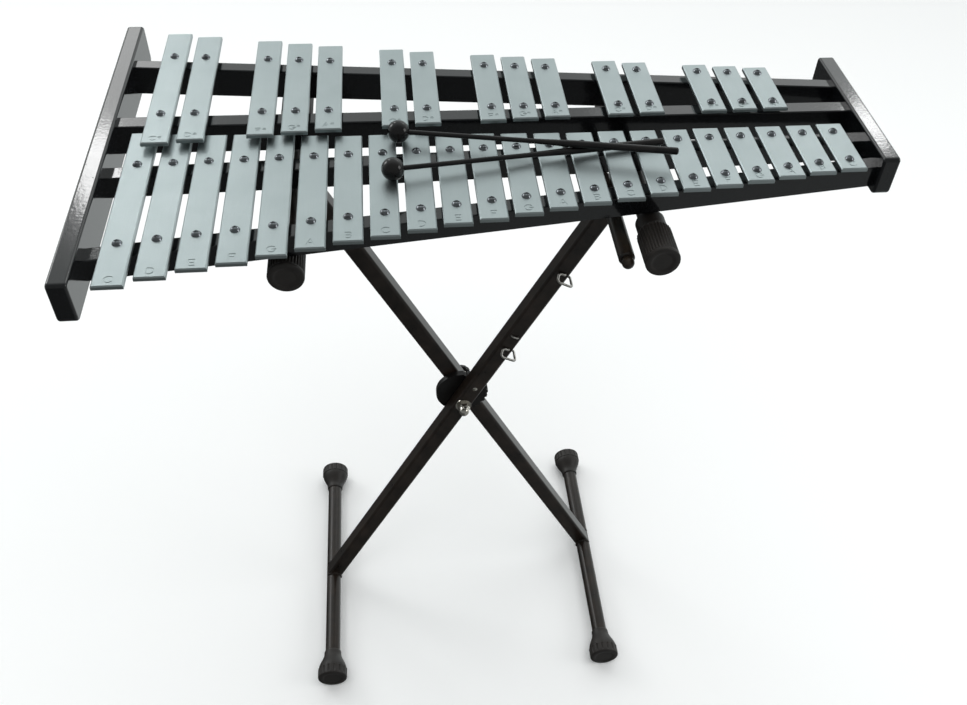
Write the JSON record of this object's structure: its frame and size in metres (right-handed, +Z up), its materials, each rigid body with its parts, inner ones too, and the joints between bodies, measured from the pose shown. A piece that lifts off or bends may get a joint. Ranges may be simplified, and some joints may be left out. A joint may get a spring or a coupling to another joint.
{
  "type": "glockenspiel on folding stand",
  "caption": "Two-row metal-bar glockenspiel in a tapered black wooden frame on a folding X-stand, with a pair of ball mallets lying on the bars",
  "frame": {"origin": "on the floor, under the middle of the whole object's box", "axes": "+Z up, -Y towards the player, +X towards the high notes, +Y away from the player"},
  "size_m": [0.7544, 0.4218, 0.7813],
  "materials": {
    "bar_metal": "satin",
    "lacquered_wood": "gloss black lacquer",
    "black_tube": "semi-gloss black powder coat",
    "black_disc": "semi-gloss black",
    "rubber": "matte moulded",
    "grommet": "matte",
    "screw": "dark chrome",
    "bright_steel": "bright nickel",
    "clip_wire": "bright wire",
    "rod_black": "gloss black",
    "knob_plastic": "matte",
    "mallet_ball": "gloss",
    "mallet_stick": "gloss"
  },
  "bodies": {
    "right_foot": {"right_foot_tube": "black_tube", "right_foot_caps": "rubber"},
    "rear_leg": {"leg_a": "black_tube", "arm_a": "black_tube", "clutch_disc_rear": "black_disc"},
    "front_leg": {"leg_b": "black_tube", "arm_b": "black_tube", "arm_b_sleeves": "rubber", "left_foot_tube": "black_tube", "left_foot_caps": "rubber", "clutch_disc_front": "black_disc", "pivot_bolt": "bright_steel", "pivot_washers": "bright_steel", "acorn_nut": "bright_steel", "accessory_rod": "rod_black", "wire_clips": "clip_wire", "leg_b_rivet": "bright_steel"},
    "arm_sleeves": {"arm_a_sleeves": "rubber"},
    "instrument": {"bar_c1": "bar_metal", "bar_d1": "bar_metal", "bar_e1": "bar_metal", "bar_f1": "bar_metal", "bar_g1": "bar_metal", "bar_a1": "bar_metal", "bar_b1": "bar_metal", "bar_c2": "bar_metal", "bar_d2": "bar_metal", "bar_e2": "bar_metal", "bar_f2": "bar_metal", "bar_g2": "bar_metal", "bar_a2": "bar_metal", "bar_b2": "bar_metal", "bar_c3": "bar_metal", "bar_d3": "bar_metal", "bar_e3": "bar_metal", "bar_f3": "bar_metal", "bar_g3": "bar_metal", "bar_a3": "bar_metal", "bar_b3": "bar_metal", "bar_c4": "bar_metal", "sharp_bars_cd1": "bar_metal", "sharp_bars_fga1": "bar_metal", "sharp_bars_cd2": "bar_metal", "sharp_bars_fga2": "bar_metal", "sharp_bars_cd3": "bar_metal", "sharp_bars_fga3": "bar_metal", "left_end_block": "lacquered_wood", "right_end_block": "lacquered_wood", "natural_front_rail": "lacquered_wood", "natural_back_rail": "lacquered_wood", "sharp_front_rail": "lacquered_wood", "sharp_back_rail": "lacquered_wood", "bar_screws": "screw", "bar_grommets": "grommet", "frame_screws": "screw"},
    "clutch_knob": {"clutch_knob": "knob_plastic"},
    "upper_mallet": {"mallet_1_head": "mallet_ball", "mallet_1_shaft": "mallet_stick"},
    "lower_mallet": {"mallet_2_head": "mallet_ball", "mallet_2_shaft": "mallet_stick"}
  },
  "joints": [
    {"name": "stand_fold", "type": "hinge", "parent": "right_foot", "child": "rear_leg", "pos_m": [0.15641, 0, 0.0195], "axis": [0, 1, 0], "range_deg": [-12, 23]},
    {"name": "leg_scissor", "type": "hinge", "parent": "rear_leg", "child": "front_leg", "pos_m": [-0.031, 0, 0.38416], "axis": [0, 1, 0], "range_deg": [-46.5, 24.5]},
    {"name": "sleeve_level", "type": "hinge", "parent": "rear_leg", "child": "arm_sleeves", "pos_m": [-0.19981, 0, 0.71262], "axis": [0, 1, 0], "range_deg": [-23.5, 12.5]},
    {"name": "instrument_centring", "type": "slide", "parent": "arm_sleeves", "child": "instrument", "axis": [1, 0, 0], "range_m": [-0.145, 0.077]},
    {"name": "knob_turn", "type": "hinge", "parent": "rear_leg", "child": "clutch_knob", "pos_m": [-0.031, 0, 0.38416], "axis": [0, 1, 0], "range_deg": [0, 360]},
    {"name": "upper_mallet_lift", "type": "slide", "parent": "instrument", "child": "upper_mallet", "axis": [0, 0, 1], "range_m": [0, 0.12]},
    {"name": "lower_mallet_lift", "type": "slide", "parent": "instrument", "child": "lower_mallet", "axis": [0, 0, 1], "range_m": [0, 0.075]}
  ],
  "couplings": [
    {"joint": "leg_scissor", "follows": "stand_fold", "ratio": -2},
    {"joint": "sleeve_level", "follows": "stand_fold", "ratio": -1},
    {"joint": "instrument_centring", "follows": "stand_fold", "m_per_rad": -0.355},
    {"joint": "lower_mallet_lift", "follows": "upper_mallet_lift", "ratio": 0.6}
  ]
}
